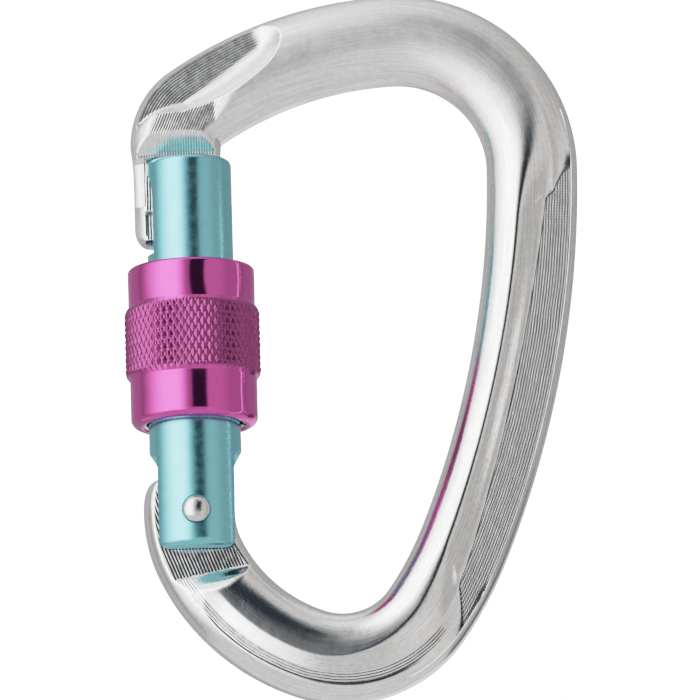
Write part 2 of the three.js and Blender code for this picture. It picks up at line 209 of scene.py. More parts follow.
def nose_facet(x, z, u):
    """Web under the nose, the cove that curves up from it and the milled facet above."""
    inner = 4.2
    reach = np.hypot(x, z)
    cove = WEB_HALF + COVE_SLOPE * above(reach - COVE_RADIUS)
    lean = 0.0066 * (np.clip(x, -7, inner) + 2) ** 2
    facet = WEB_HALF + FACET_STEP + 0.07 * (reach - FACET_RADIUS) - lean + 0.2 * above(x - inner)
    return smooth_min(cove, facet, 0.35) + RIM_SLOPE * above(u - (HALF_WIDTH - RIM))


def shoulder_line(x, z):
    """How far a point of the tongue lies below the line where its hollow shoulder starts."""
    return SHOULDER_DOWN[0] * x + SHOULDER_DOWN[1] * (z - SHOULDER_Z)


def tongue_flat(x, z):
    """Milled flats of the tongue, with a hollow shoulder where they run out into the round bar."""
    below = above(shoulder_line(x, z))
    lean = 0.002 * (np.clip(x, -7, 6) + 6) ** 2 * ease(below, 2.0, 0.0)
    side = 0.5 * ease(x, -1.0, 6.0) * ease(below, 0.0, 2.0)
    return TONGUE_HALF - lean + 0.38 * below + 0.04 * below**2 + side


def round_bar(t):
    """Half thickness of the plain bar, at t from -1 on its inner side to 1 on its outer side."""
    return HALF_THICK * (1 - np.abs(np.clip(t, -1, 1)) ** ROUNDNESS) ** (1 / ROUNDNESS)


def bar_half(x, z, s, u, t):
    """Half thickness of the bar once its recesses, flats and facets are cut into the round section."""
    whole = round_bar(t)
    half = whole
    if s < NOSE_LAST:
        half = smooth_min(half, nose_facet(x, z, u), 0.3)
        half = smooth_min(half, nose_recess(s, u), 0.35)
    if SPINE_FIRST < s < TONGUE_FIRST:
        above_floor, below_floor = past_spine_floor(s, u)
        gone = above_floor / FLOOR_FADES[0] + below_floor / FLOOR_FADES[1]
        gone = np.hypot(gone, 0.03) - 0.03
        gone = np.minimum(gone, 1.0)
        gone = gone * (2 - gone)
        half = smooth_min(half, spine_recess(s, u), 0.45)
        half = half + (whole - half) * gone
    if s > HEEL_FIRST:
        half = smooth_min(half, heel_face(s, u), 0.3 - 0.18 * ease(s, *HEEL_STEP))
    if s > TONGUE_FIRST:
        half = smooth_min(half, tongue_flat(x, z), 0.25)
    return np.minimum(half, whole)


def nose_half(x, z, top):
    """The keylock nose below the ledge: a neck, and a wide head with a small pit in it."""
    web = NECK_HALF + (WEB_HALF - NECK_HALF) * ease(z, top - 0.6, top - 0.05)
    head = NECK_HALF + (HEAD_HALF - NECK_HALF) * ease(z, HEAD_TOP, HEAD_TOP - 0.5)
    pit = ease(x, -6.6, -6.2) * ease(x, -4.3, -4.8) * ease(z, 42.9, 43.4) * ease(z, 46.8, 46.2)
    half = np.maximum(web, head - 0.9 * pit)
    edge = above(1 - (x - x[-1]) / NOSE_EDGE)
    return half * (1 - edge**1.7) ** (1 / 1.7)


def follow_borders(s, t):
    """Slides a row's points sideways so that the same ones stay on the recess's crease and floor edge."""
    near = float(ease(s, 56.0, 70.0) * ease(s, 160.0, 146.0))
    crease, floor_edge = spine_borders(s)
    usual = [-1, -2.0 / HALF_WIDTH, 0.9 / HALF_WIDTH, 0.85, 1]
    wanted = [-1, crease / HALF_WIDTH, floor_edge / HALF_WIDTH, 0.85, 1]
    return np.interp(t, usual, np.add(usual, near * np.subtract(wanted, usual)))


# ---------------------------------------------------------------- body: rows of points over its outline
def column_shares():
    """How far across the bar each column lies, from 0 on its inner side to 1 on its outer side: once
    alike on both sides of the middle, and once with the middle column on the nose's inner side."""
    j = np.arange(COLUMNS)
    even = (1 - np.cos(np.pi * j / (COLUMNS - 1))) / 2
    inner, outer = LEDGE_SIDES
    share = (inner - NOSE_INSIDE) / (inner - outer)
    turn = np.pi / 2 * (j - KNEE) / KNEE
    shifted = np.where(j < KNEE, share * (1 + np.sin(turn)), share + (1 - share) * np.sin(turn))
    return even, shifted


def row(x, z, half, s, u, first=0):
    """One row of points. Its columns before the first are left out."""
    return {"x": x, "z": z, "half": half, "s": s, "u": u, "first": first}


def nose_rows(ledge_x, ledge_z):
    """The keylock nose, from its tip up to the ledge."""
    outer_start, outer_round = -6.0, 2.4
    inner_start, inner_round = -3.2, 1.0
    outer = above(outer_start - ledge_x) / outer_round
    inner = above(ledge_x - inner_start) / inner_round
    # the outer part narrows from the ledge's width to the nose's own
    still = -5.0
    narrowing = (still - NOSE_OUTSIDE) / (still - LEDGE_SIDES[1])
    tip_x = np.where(ledge_x < still, still + (ledge_x - still) * narrowing, ledge_x)
    tip_z = NOSE_TIP + outer_round * (1 - np.sqrt(above(1 - outer**2)))
    tip_z = tip_z + inner_round * (1 - np.sqrt(above(1 - inner**2)))
    rise = spans(0.0, (0.6, 0.06), (7.0, 0.16), (12.9, 0.25), (13.5, 0.1))
    rows = []
    for d in rise[:-1]:
        k = d / rise[-1]
        x = tip_x + (ledge_x - tip_x) * k**6
        z = tip_z + (ledge_z - tip_z) * k
        end = math.sqrt(1 - (1 - min(d / TIP_LENGTH, 1.0)) ** 2)
        rows.append(row(x, z, nose_half(x, z, ledge_z) * end, d - rise[-1], x, KNEE))
    return rows


def web_rows(shifted, ledge_x, ledge_z):
    """The web under the nose, from the ledge to the first square section of the bar."""
    t = 2 * shifted - 1
    first = BAR.across(FIRST_RADIAL, HALF_WIDTH * t)
    rows = []
    for k in np.linspace(0, 1, WEB_ROWS + 1)[:-1]:
        x = ledge_x + (first[:, 0] - ledge_x) * k
        z = ledge_z + (first[:, 1] - ledge_z) * k
        half = bar_half(x, z, FIRST_RADIAL * k, HALF_WIDTH * t, t)
        rows.append(row(x, z, half, FIRST_RADIAL * k, HALF_WIDTH * t))
    return rows


def square_rows(even, shifted):
    """The bar, in rows square to its centreline, closest together where its shape changes fast."""
    stations = spans(FIRST_RADIAL, (28.0, 0.16), (66.0, 0.8), (84.0, 0.2), (124.0, 0.5), (150.0, 0.2),
                     (172.0, 0.6), (BAR.length, 0.2))
    rows = []
    for s in stations:
        morph = ease(s, FIRST_RADIAL, 12.0)
        t = follow_borders(s, 2 * (shifted * (1 - morph) + even * morph) - 1)
        points = BAR.across(s, HALF_WIDTH * t)
        half = bar_half(points[:, 0], points[:, 1], s, HALF_WIDTH * t, t)
        rows.append(row(points[:, 0], points[:, 1], half, s, HALF_WIDTH * t))
    return rows


def tongue_rows(even):
    """The tongue, from the end of the bar up to its own end."""
    t = 2 * even - 1
    base = BAR.across(BAR.length, HALF_WIDTH * t)
    end_z = np.interp(even, [0, 0.45, 1], TONGUE_TOP)
    inner, outer = TONGUE_SIDES
    rows = []
    for k in spans(0.0, (0.9, 0.035), (1.0, 0.012))[1:]:
        left = base[-1, 0] + (outer - base[-1, 0]) * (1 - (1 - k**2.6) ** (1 / 2.6))
        right = base[0, 0] + (inner - base[0, 0]) * k**3
        x = right + (left - right) * even
        z = base[:, 1] + (end_z - base[:, 1]) * k
        short = max(0.0, TONGUE_ROUND - (1 - k) * TONGUE_LENGTH)
        cap = TONGUE_HALF - TONGUE_ROUND + math.sqrt(max(0.0, TONGUE_ROUND**2 - short**2))
        half = np.minimum(smooth_min(round_bar(t), tongue_flat(x, z), 0.4), cap)
        rows.append(row(x, z, half, BAR.length + TONGUE_LENGTH * k, HALF_WIDTH * t))
    return rows


def body_rows():
    """Rows of points from the nose's tip round to the tongue's end: x, z, half thickness and the
    coordinates that the tool marks follow."""
    even, shifted = column_shares()
    inner, outer = LEDGE_SIDES
    ledge_x = inner + (outer - inner) * shifted
    ledge_z = np.sqrt(LEDGE_RADIUS**2 - ledge_x**2)
    rows = nose_rows(ledge_x, ledge_z) + web_rows(shifted, ledge_x, ledge_z)
    return rows + square_rows(even, shifted) + tongue_rows(even)


def nose_marks(x, z, s, u):
    """Lines on the floor of the nose's recess, the milled facet and the web, and their depth."""
    reach = np.hypot(x, z)
    floor_edge = nose_borders(s)[1]
    inside = ease(HALF_WIDTH - RIM - u, 0.0, 0.2)
    floor = ease(u, floor_edge - 0.5, floor_edge) * ease(s, 24.0, 22.5) * inside
    cut = nose_facet(x, z, u)
    facet = ease(reach, FACET_RADIUS - 0.2, FACET_RADIUS) * ease(round_bar(u / HALF_WIDTH) - cut, 0.05, 0.3)
    facet = facet * ease(nose_recess(s, u) - cut, 0.0, 0.2) * inside
    milled = np.maximum(facet, 0.65 * ease(FACET_RADIUS - reach, 0.0, 0.3) * inside)
    slant = x - 0.45 * (z - FACET_RADIUS) * ease(reach, FACET_RADIUS - 1, FACET_RADIUS)
    return np.where(milled > floor, slant, u), np.maximum(0.6 * floor, 0.65 * milled)


def spine_floor(s, u):
    """1 on the flat floor of the spine's recess and 0 off it."""
    floor_edge = spine_borders(s)[1]
    floor = ease(u, floor_edge - 0.3, floor_edge) * ease(sum(past_spine_floor(s, u)), 0.4, 0.0)
    return floor * ease(HALF_WIDTH - RIM - u, 0.0, 0.2)


def tongue_marks(x, z, s, u):
    """Slanting lines over the tongue's flats and their depth, and the rolled lines beside them."""
    flat = ease(TONGUE_HALF + 0.2 - tongue_flat(x, z), 0.0, 0.2) * ease(shoulder_line(x, z), 0.1, 0)
    flat = flat * ease(round_bar(u / HALF_WIDTH) - TONGUE_HALF, 0.1, 0.3)
    slant = 0.8 * (x + 0.38 * z)
    return np.where(flat > 0.01, slant, u), np.maximum(0.75 * flat, heel_lines(s, u))


def heel_lines(s, u):
    """Depth of the few rolled lines along the outside of the heel, at the narrow end."""
    return 2.0 * ease(u, 2.9, 3.2) * ease(u, 4.6, 4.1) * ease(s, 139.0, 150.0) * ease(s, 190.0, 178.0)


def tool_marks(x, z, s, u):
    """The fine parallel lines of the milled and forged floors: a distance across the lines in mm, how deep
    they are, and how satin the surface between them is."""
    satin = np.zeros_like(u)
    if s < 0:
        line, depth = x, 0.8 * ease(x, x[-1] + 1.5, x[-1] + 1.7)
    elif s < NOSE_LAST:
        line, depth = nose_marks(x, z, s, u)
    elif s < TONGUE_FIRST:
        satin = spine_floor(s, u)
        line, depth = u, np.maximum(0.22 * satin, heel_lines(s, u))
    else:
        line, depth = tongue_marks(x, z, s, u)
    return line, depth, satin


def grid_faces(rows, columns, first):
    """Faces of the front and back grids, the walls between them, and the ends."""
    count = rows * columns
    faces = []

    def wall(a, b):
        faces.append((a, b, count + b, count + a))

    for i in range(rows - 1):
        for j in range(first[i], columns - 1):
            a = i * columns + j
            faces.append((a, a + columns, a + columns + 1, a + 1))
            faces.append((count + a, count + a + 1, count + a + columns + 1, count + a + columns))
        inner = i * columns + first[i]
        outer = i * columns + columns - 1
        wall(inner + columns, inner)
        wall(outer, outer + columns)
    # the ledge is the first row with all its columns
    ledge = int(np.argmax(first == 0)) * columns
    for j in range(first[0]):
        wall(ledge + j + 1, ledge + j)
    for j in range(first[0], columns - 1):
        wall(j + 1, j)
    for j in range(columns - 1):
        wall((rows - 1) * columns + j, (rows - 1) * columns + j + 1)
    return faces


def body_data():
    """Vertices in mm about the pivot, faces, and for each vertex its (mark line, mark depth) and its
    (distance along the bar, satin)."""
    rows = body_rows()
    x, z, half = (np.stack([each[key] for each in rows]) for key in ("x", "z", "half"))
    half = np.maximum(half, 0)
    marks = [tool_marks(each["x"], each["z"], each["s"], each["u"]) for each in rows]
    line, depth, satin = (np.stack([mark[k] for mark in marks]).ravel() for k in range(3))
    along = np.repeat([each["s"] for each in rows], COLUMNS)
    front = np.stack([x, -half, z], axis=-1).reshape(-1, 3)
    back = np.stack([x, half, z], axis=-1).reshape(-1, 3)
    faces = grid_faces(len(rows), COLUMNS, np.array([each["first"] for each in rows]))
    layers = [np.stack([line, depth], axis=-1), np.stack([along, satin], axis=-1)]
    return np.concatenate([front, back]), faces, [np.tile(layer, (2, 1)) for layer in layers]


# ---------------------------------------------------------------- turned pieces: driving dimensions, mm
GATE_LOW = -5.5
GATE_HIGH = 54.9
GATE_RADIUS = 6.5
GATE_ROOT_RADIUS = 6.95
GATE_FOOT = 1.3  # rounding of the gate's lower end
SLOT_HALF = 3.95
SLOT_TOP = 10.0
SPRING_BORE = 2.75
BORE_ENDS = (5, 34.5)
FIT = 0.4  # room around the nose in its pocket
THREAD = {"root": 6.5, "crest": 7.5, "low": 25.2, "high": 34.4}
NUT = {"root": 7.9, "crest": 7.05, "low": 20.9, "high": 27.4}
PITCH = 2.0
SLEEVE = {"low": 13.9, "high": 38.2, "radius": 9.6, "mouth": 7.55, "groove": 8.15, "room": 8.65,
          "foot": 1.3, "brow": 0.62, "edge": 0.2, "lip": 0.12}
KNURL = {"low": 21.5, "high": 31.75, "radius": 10.25, "round": 63, "tall": 1.9, "depth": 0.26}
RING = {"inner": 7.2, "outer": 8.05, "low": 14.1, "high": 14.95, "lip": 7.75, "gap": 0.6}
RIVET = {"seat": 6.6, "head": 2.1, "dome": 1.35, "shank": 1.5, "hole": 1.75, "spot": 2.2}
SPRING = {"wire": 0.35, "mean": 1.95, "turns": 9, "low": 14.1, "high": 34.0}
PLUNGER = {"tip": 7.2, "radius": 1.6, "flange": 2.4, "pin": 1.1, "end": 0.7}
THROUGH = 10  # half length of a cutter that goes right through


def fillet(r, z, radius, start, steps=6):
    """A quarter round about (r, z), from an angle in degrees and on for 90."""
    turn = np.radians(start + 90 * np.arange(steps + 1) / steps)
    return [(r + radius * math.cos(a), z + radius * math.sin(a)) for a in turn]


def ridge(profile_z, angle, thread, phase):
    """How far a thread's ridge stands at each height and angle, from 0 to 1."""
    turns = (profile_z - thread["low"]) / PITCH - angle / (2 * np.pi) + phase
    off = np.abs((turns + 0.5) % 1.0 - 0.5) * PITCH
    ends = ease(profile_z, thread["low"] - 0.6, thread["low"] + 0.1)
    ends = ends * ease(profile_z, thread["high"] + 0.6, thread["high"] - 0.1)
    return np.clip((0.62 - off) / 0.37, 0, 1) * ends


def knurling(z, angle):
    """Height of the diamond knurl, from 0 in a groove to 1 on a flat top."""
    across = angle * KNURL["round"] / (2 * np.pi)
    along = (z - KNURL["low"]) / KNURL["tall"]
    one = 1 - np.abs(2 * ((across + along) % 1.0) - 1)
    other = 1 - np.abs(2 * ((across - along) % 1.0) - 1)
    ends = ease(z, KNURL["low"], KNURL["low"] + 0.35) * ease(z, KNURL["high"], KNURL["high"] - 0.35)
    return np.minimum(1.0, 1.12 * np.minimum(one, other)) * ends


def turned_grid(profile, segments, shape=None, closed=True):
    """A solid of revolution about z. shape(r, z, angle) may move each profile point's radius."""
    profile = np.array(profile, dtype=float)
    angle = 2 * np.pi * np.arange(segments) / segments
    r, a = np.meshgrid(profile[:, 0], angle, indexing="ij")
    z = np.broadcast_to(profile[:, 1:2], r.shape)
    if shape:
        r = shape(r, z, a)
    verts = np.stack([r * np.cos(a), r * np.sin(a), z], axis=-1).reshape(-1, 3)
    faces = []
    rows = len(profile)
    for k in range(rows if closed else rows - 1):
        lower = k * segments
        upper = (k + 1) % rows * segments
        for i in range(segments):
            j = (i + 1) % segments
            faces.append((lower + i, lower + j, upper + j, upper + i))
    return verts, faces


def column(r, low, high, step):
    """Profile points up (or down) a straight wall, close enough together to carry a thread or knurl."""
    count = max(1, round(abs(high - low) / step))
    return [(r, z) for z in np.linspace(low, high, count + 1)]


# ---------------------------------------------------------------- Blender helpers
def pivot_point():
    low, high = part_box("gate_rivet")
    return (Vector(low) + Vector(high)) / 2


def new_mesh(name, verts, faces):
    """A mesh from points in mm about the pivot."""
    mesh = bpy.data.meshes.new(name)
    placed = np.asarray(verts) * MM + np.array(pivot_point())
    mesh.from_pydata(placed.tolist(), [], faces)
    return mesh


def linked(name, mesh, sharp):
    """A cleaned object of the mesh, in the scene."""
    obj = bpy.data.objects.new(name, mesh)
    bpy.context.collection.objects.link(obj)
    clean(mesh, sharp)
    return obj


def clean(mesh, sharp):
    """Merges the doubled points, turns the faces outwards and marks the edges sharper than an angle."""
    bm = bmesh.new()
    bm.from_mesh(mesh)
    bmesh.ops.remove_doubles(bm, verts=bm.verts, dist=0.002 * MM)
    bmesh.ops.dissolve_degenerate(bm, edges=bm.edges, dist=0.001 * MM)
    bmesh.ops.recalc_face_normals(bm, faces=bm.faces)
    bm.to_mesh(mesh)
    bm.free()
    mesh.shade_smooth()
    mesh.set_sharp_from_angle(angle=math.radians(sharp))


def make_object(name, verts, faces, material, body, replaces, sharp=35):
    """One closed mesh piece that rides on a CAD body."""
    mesh = new_mesh(name, verts, faces)
    mesh.materials.append(material)
    obj = linked(name, mesh, sharp)
    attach(obj, body)
    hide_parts(replaces)
    return obj


def block(x0, x1, y0, y1, z0, z1):
    """A plain cutter: a box."""
    verts = [(x, y, z) for z in (z0, z1) for y in (y0, y1) for x in (x0, x1)]
    return verts, [(0, 2, 3, 1), (4, 5, 7, 6), (0, 1, 5, 4), (2, 6, 7, 3), (0, 4, 6, 2), (1, 3, 7, 5)]


def rod(radius, low, high, axis="z", squash=1.0, rise=0.0):
    """A plain cutter: a cylinder about the gate's axis, or across it, squashed and then raised."""
    profile = [(0, low), (radius, low), (radius, high), (0, high)]
    verts, faces = turned_grid(profile, 96, closed=False)
    order = {"x": [2, 0, 1], "y": [0, 2, 1], "z": [0, 1, 2]}[axis]
    return verts[:, order] * [1, 1, squash] + [0, 0, rise], faces


def cut(target, pieces):
    """Cuts each (verts, faces) out of target, one after another."""
    for verts, faces in pieces:
        cutter = linked("cutter", new_mesh("cutter", verts, faces), 35)
        modifier = target.modifiers.new("cut", "BOOLEAN")
        modifier.object = cutter
        modifier.operation = "DIFFERENCE"
        modifier.solver = "EXACT"
        bpy.context.view_layer.update()
        evaluated = target.evaluated_get(bpy.context.evaluated_depsgraph_get())
        result = bpy.data.meshes.new_from_object(evaluated)
        target.modifiers.clear()
        old = target.data
        target.data = result
        bpy.data.meshes.remove(old)
        cutter_mesh = cutter.data
        bpy.data.objects.remove(cutter)
        bpy.data.meshes.remove(cutter_mesh)


# ---------------------------------------------------------------- material nodes
class Nodes:
    """Short calls for wiring a node tree. A value may be a number, a colour or another node's output."""

    def __init__(self, tree):
        self.tree = tree
        tree.nodes.clear()

    def add(self, kind, inputs=None, **settings):
        node = self.tree.nodes.new(kind)
        for key, value in settings.items():
            setattr(node, key, value)
        for key, value in (inputs or {}).items():
            self.set(node.inputs[key], value)
        return node

    def set(self, socket, value):
        if isinstance(value, bpy.types.NodeSocket):
            self.tree.links.new(value, socket)
        else:
            socket.default_value = value

    def math(self, operation, *values, clamp=False):
        node = self.add("ShaderNodeMath", operation=operation, use_clamp=clamp)
        for socket, value in zip(node.inputs, values):
            self.set(socket, value)
        return node.outputs[0]

    def smooth(self, value, low, high, out_low=0.0, out_high=1.0):
        """Eases from out_low at low to out_high at high."""
        node = self.add("ShaderNodeMapRange", {"Value": value}, interpolation_type="SMOOTHSTEP")
        node.inputs["From Min"].default_value = low
        node.inputs["From Max"].default_value = high
        node.inputs["To Min"].default_value = out_low
        node.inputs["To Max"].default_value = out_high
        return node.outputs[0]

    def noise(self, scale, detail=2.0, vector=None, roughness=0.5):
        node = self.add("ShaderNodeTexNoise", {"Scale": scale, "Detail": detail, "Roughness": roughness})
        if vector is None:
            vector = self.add("ShaderNodeTexCoord").outputs["Object"]
        self.set(node.inputs["Vector"], vector)
        return node.outputs["Fac"]

    def bump(self, height, distance, normal=None):
        """A bumped normal, on top of another one if that is given."""
        node = self.add("ShaderNodeBump", {"Height": height, "Distance": distance, "Strength": 1.0})
        if normal:
            self.set(node.inputs["Normal"], normal)
        return node.outputs["Normal"]

    def mix_color(self, factor, one, other):
        node = self.add("ShaderNodeMix", data_type="RGBA")
        self.set(node.inputs["Factor"], factor)
        self.set(node.inputs[6], one)
        self.set(node.inputs[7], other)
        return node.outputs[2]


def new_material(name):
    material = bpy.data.materials.new(name)
    material.use_nodes = True
    nodes = Nodes(material.node_tree)
    shader = nodes.add("ShaderNodeBsdfPrincipled", {"Metallic": 1.0})
    output = nodes.add("ShaderNodeOutputMaterial")
    nodes.tree.links.new(shader.outputs[0], output.inputs["Surface"])
    return material, nodes, shader


LINE_PITCH = 0.40  # mm between the milled or forged lines
BEAD_PITCH = 0.42  # mm between the beads that cross them on the spine's floor


def line_waves(n, line, distance, satin):
    """Height of the milled or forged lines, broken into beads where the surface is satin."""
    wander = n.math("MULTIPLY", n.math("SUBTRACT", n.noise(200, 2), 0.5), 0.35)
    wave = n.math("SINE", n.math("MULTIPLY", n.math("ADD", line, wander), 2 * math.pi / LINE_PITCH))
    uneven = n.smooth(n.noise(900, 2), 0.3, 0.7, 0.6, 1.0)
    beads = n.math("SINE", n.math("MULTIPLY", distance, 2 * math.pi / BEAD_PITCH))
    strength = n.math("MULTIPLY_ADD", n.math("MULTIPLY", beads, satin), 0.8, uneven)
    return n.math("MULTIPLY", wave, strength)


def uv_layer(n, name):
    """The two values of a layer of the body's mesh."""
    layer = n.add("ShaderNodeUVMap", uv_map=name).outputs[0]
    outputs = n.add("ShaderNodeSeparateXYZ", {"Vector": layer}).outputs
    return outputs["X"], outputs["Y"]


def aluminium():
    """Tumble-polished aluminium, with milled or forged lines where the marks layer says so."""
    material, n, shader = new_material("polished_aluminium")
    line, depth = uv_layer(n, "marks")
    distance, satin = uv_layer(n, "along")
    wave = line_waves(n, line, distance, satin)
    streak_at = n.add("ShaderNodeCombineXYZ", {"X": n.math("MULTIPLY", line, 4.5),
                                               "Y": n.math("MULTIPLY", distance, 0.10)})
    streaks = n.noise(1.0, 3, vector=streak_at.outputs[0])
    calm = n.math("MULTIPLY_ADD", depth, -1.0, 1.0, clamp=True)
    grain = n.math("MULTIPLY", n.noise(6500, 3, roughness=0.6), calm)
    normal = n.bump(n.noise(500, 2), 0.015 * MM)
    normal = n.bump(n.math("MULTIPLY", streaks, calm), 0.006 * MM, normal)
    normal = n.bump(grain, 0.013 * MM, normal)
    normal = n.bump(n.math("MULTIPLY", wave, depth), 0.018 * MM, normal)
    # lighter and darker streaks along the lines, with a finer mottle over them
    streaky_tone = n.math("MULTIPLY_ADD", streaks, 0.65, n.math("MULTIPLY", n.noise(1500, 3), 0.35))
    tone = n.mix_color(n.smooth(streaky_tone, 0.36, 0.64), (0.75, 0.74, 0.73, 1), (0.94, 0.94, 0.935, 1))
    # the nose and the top of the body are duller than the spine and the foot
    arch = n.math("MULTIPLY", n.smooth(distance, 76.0, 60.0), n.math("SUBTRACT", 1.0, depth, clamp=True))
    rough = n.smooth(n.noise(400, 3), 0.3, 0.75, 0.06, 0.11)
    rough = n.math("MULTIPLY_ADD", satin, 0.04, n.math("MULTIPLY_ADD", depth, 0.03, rough))
    rough = n.math("MULTIPLY_ADD", arch, 0.3, rough)
    n.set(shader.inputs["Base Color"], tone)
    n.set(shader.inputs["Roughness"], rough)
    n.set(shader.inputs["Normal"], normal)
    return material


def anodised(name, dye, rough, grain, matt_and_painted_shade=None):
    """Dyed anodised aluminium: a metallic colour under a clear skin, with a fine grain and turned lines.
    matt, if given, is the lowest and highest z in mm of a band that was blasted or knurled: it is made
    rougher, and its colour is darkened as painted shade of the knurl's grooves."""
    material, n, shader = new_material(name)
    shader.inputs["Specular Tint"].default_value = (*dye["edge"], 1)
    shader.inputs["Coat Weight"].default_value = 0.8
    shader.inputs["Coat IOR"].default_value = 1.6
    shader.inputs["Coat Roughness"].default_value = rough * 0.7
    speckle = n.noise(8500, 3, roughness=0.6)
    tone = n.mix_color(n.smooth(speckle, 0.35, 0.65), (*dye["dark"], 1), (*dye["light"], 1))
    coord = n.add("ShaderNodeTexCoord").outputs["Object"]
    roughness = n.smooth(n.noise(900, 3), 0.3, 0.7, rough * 0.85, rough * 1.15)
    if matt_and_painted_shade:
        low, high = (pivot_point().z + value * MM for value in matt_and_painted_shade)
        height = n.add("ShaderNodeSeparateXYZ", {"Vector": coord}).outputs["Z"]
        band = window(n, height, low, high, 0.2 * MM)
        roughness = n.math("MULTIPLY_ADD", band, 0.17, roughness)
        # painted shade: the band's colour is darkened to half the dye's dark tone, for the shade in the
        # knurl's grooves
        tone = n.mix_color(band, tone, (*(0.5 * c for c in dye["dark"]), 1))
    stretch = n.add("ShaderNodeMapping", {"Vector": coord, "Scale": (30.0, 30.0, 9000.0)})
    turning = n.noise(1.0, 2, vector=stretch.outputs["Vector"])
    n.set(shader.inputs["Base Color"], tone)
    n.set(shader.inputs["Roughness"], roughness)
    n.set(shader.inputs["Normal"], n.bump(speckle, grain, n.bump(turning, grain * 0.4)))
    return material


def steel(name, tone, rough):
    """Plain steel with a faint mottle."""
    material, n, shader = new_material(name)
    n.set(shader.inputs["Base Color"], n.mix_color(n.noise(2500, 2), (*tone, 1),
                                                   (*(c * 1.1 for c in tone), 1)))
    n.set(shader.inputs["Roughness"], n.smooth(n.noise(1200, 3), 0.3, 0.7, rough * 0.7, rough * 1.3))
    n.set(shader.inputs["Normal"], n.bump(n.noise(1600, 2), 0.012 * MM))
    return material


# ---------------------------------------------------------------- pieces
def make_body(material):
    verts, faces, layers = body_data()
    mesh = new_mesh("forged_body", verts, faces)
    corners = np.empty(len(mesh.loops), dtype=np.int32)
    mesh.loops.foreach_get("vertex_index", corners)
    for name, values in zip(("marks", "along"), layers):
        mesh.uv_layers.new(name=name).data.foreach_set("uv", values[corners].ravel())
    mesh.materials.append(material)
    obj = linked("forged_body", mesh, 40)
    cut(obj, [rod(RIVET["hole"], -THROUGH, THROUGH, axis="y")])
    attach(obj, "frame")
    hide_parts("body")
    return obj


def gate_profile():
    """Section of the gate: round foot, thick root, threaded middle and plain top."""
    corner = GATE_ROOT_RADIUS - GATE_FOOT
    profile = [(0, GATE_LOW), (corner * 0.5, GATE_LOW)]
    profile += fillet(corner, GATE_LOW + GATE_FOOT, GATE_FOOT, -90)
    profile += [(GATE_ROOT_RADIUS, 5.0), (GATE_ROOT_RADIUS, 19.9), (GATE_RADIUS, 20.3)]
    profile += column(GATE_RADIUS, THREAD["low"] - 1, THREAD["high"] + 1, 0.14)
    profile += [(GATE_RADIUS, 45.0)]
    profile += fillet(GATE_RADIUS - 1, GATE_HIGH - 1, 1, 0)
    return profile + [(GATE_RADIUS * 0.4, GATE_HIGH), (0, GATE_HIGH)]


def gate_cutters():
    """What is cut from the gate: slot, spring's bore, nose's pocket, rivet's seats and rivet's hole."""
    half_top = SLOT_HALF / 2
    seat = RIVET["seat"] - 0.05
    return [
        block(-THROUGH, THROUGH, -SLOT_HALF, SLOT_HALF, GATE_LOW - 1, SLOT_TOP - half_top),
        rod(SLOT_HALF, -THROUGH, THROUGH, "x", squash=0.5, rise=SLOT_TOP - half_top),
        rod(SPRING_BORE, *BORE_ENDS),
        nose_pocket(),
        rod(RIVET["spot"], seat, 9, axis="y"),
        rod(RIVET["spot"], -9, -seat, axis="y"),
        rod(RIVET["hole"], -THROUGH, THROUGH, axis="y"),
    ]


def make_gate(material):
    def shape(r, z, a):
        threaded = (z > THREAD["low"] - 0.9) & (z < THREAD["high"] + 0.9)
        return r + np.where(threaded, (THREAD["crest"] - THREAD["root"]) * ridge(z, a, THREAD, 0.0), 0)

    verts, faces = turned_grid(gate_profile(), 192, shape, closed=False)
    obj = linked("turned_gate", new_mesh("turned_gate", verts, faces), 35)
    cut(obj, gate_cutters())
    obj.data.materials.clear()
    obj.data.materials.append(material)
    clean(obj.data, 30)
    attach(obj, "gate")
    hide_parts("gate_barrel")
    return obj


def nose_pocket():
    """Keyhole pocket for the nose, milled in from the outside: wide for the head, narrow for the neck."""
    neck, head = NECK_HALF + FIT, HEAD_HALF + FIT
    shoulder = [(neck + (head - neck) * math.sin(a), 48.2 + 4.3 * math.cos(a))
                for a in np.linspace(0, np.pi / 2, 13)]
    right = [(neck, GATE_HIGH + 1)] + shoulder + [(head, NOSE_TIP - 1.4)]
    outline = right + [(-y, z) for y, z in reversed(right)]
    return prism(outline, -THROUGH, NOSE_INSIDE + FIT)


def prism(outline, x0, x1):
    count = len(outline)
    verts = [(x, y, z) for x in (x0, x1) for y, z in outline]
    faces = [tuple(range(count)), tuple(range(2 * count - 1, count - 1, -1))]
    faces += [(i, (i + 1) % count, (i + 1) % count + count, i + count) for i in range(count)]
    return verts, faces


def sleeve_profile():
    """Section of the sleeve: lip, round foot, knurled band, top, room for the nose, nut's thread, mouth
    and the retaining ring's groove."""
    low, high, radius = SLEEVE["low"], SLEEVE["high"], SLEEVE["radius"]
    mouth, groove, room = SLEEVE["mouth"], SLEEVE["groove"], SLEEVE["room"]
    foot, brow, edge, lip = SLEEVE["foot"], SLEEVE["brow"], SLEEVE["edge"], SLEEVE["lip"]
    below, over = KNURL["low"], KNURL["high"]
    profile = [(RING["lip"], low + 0.15)]
    profile += fillet(RING["lip"] + lip, low + lip, lip, 180, 3)[1:]
    profile += fillet(radius - foot, low + foot, foot, -90)
    profile += [(radius, low + 4), (radius, below - 0.62), (radius + 0.03, below - 0.5)]
    profile += column(KNURL["radius"], below, over, 0.13)
    profile += [(radius + 0.03, over + 0.5), (radius, over + 0.62), (radius, high - 3)]
    profile += fillet(radius - brow, high - brow, brow, 0)
    profile += fillet(room + edge, high - edge, edge, 90, 3)
    profile += [(room, NUT["high"] + 1.2)]
    profile += column(NUT["root"], NUT["high"] + 0.7, NUT["low"] - 0.8, 0.2)
    profile += [(mouth, NUT["low"] - 1.2), (mouth, RING["high"] + 0.1)]
    return profile + [(groove, RING["high"] + 0.1), (groove, low + 0.15)]


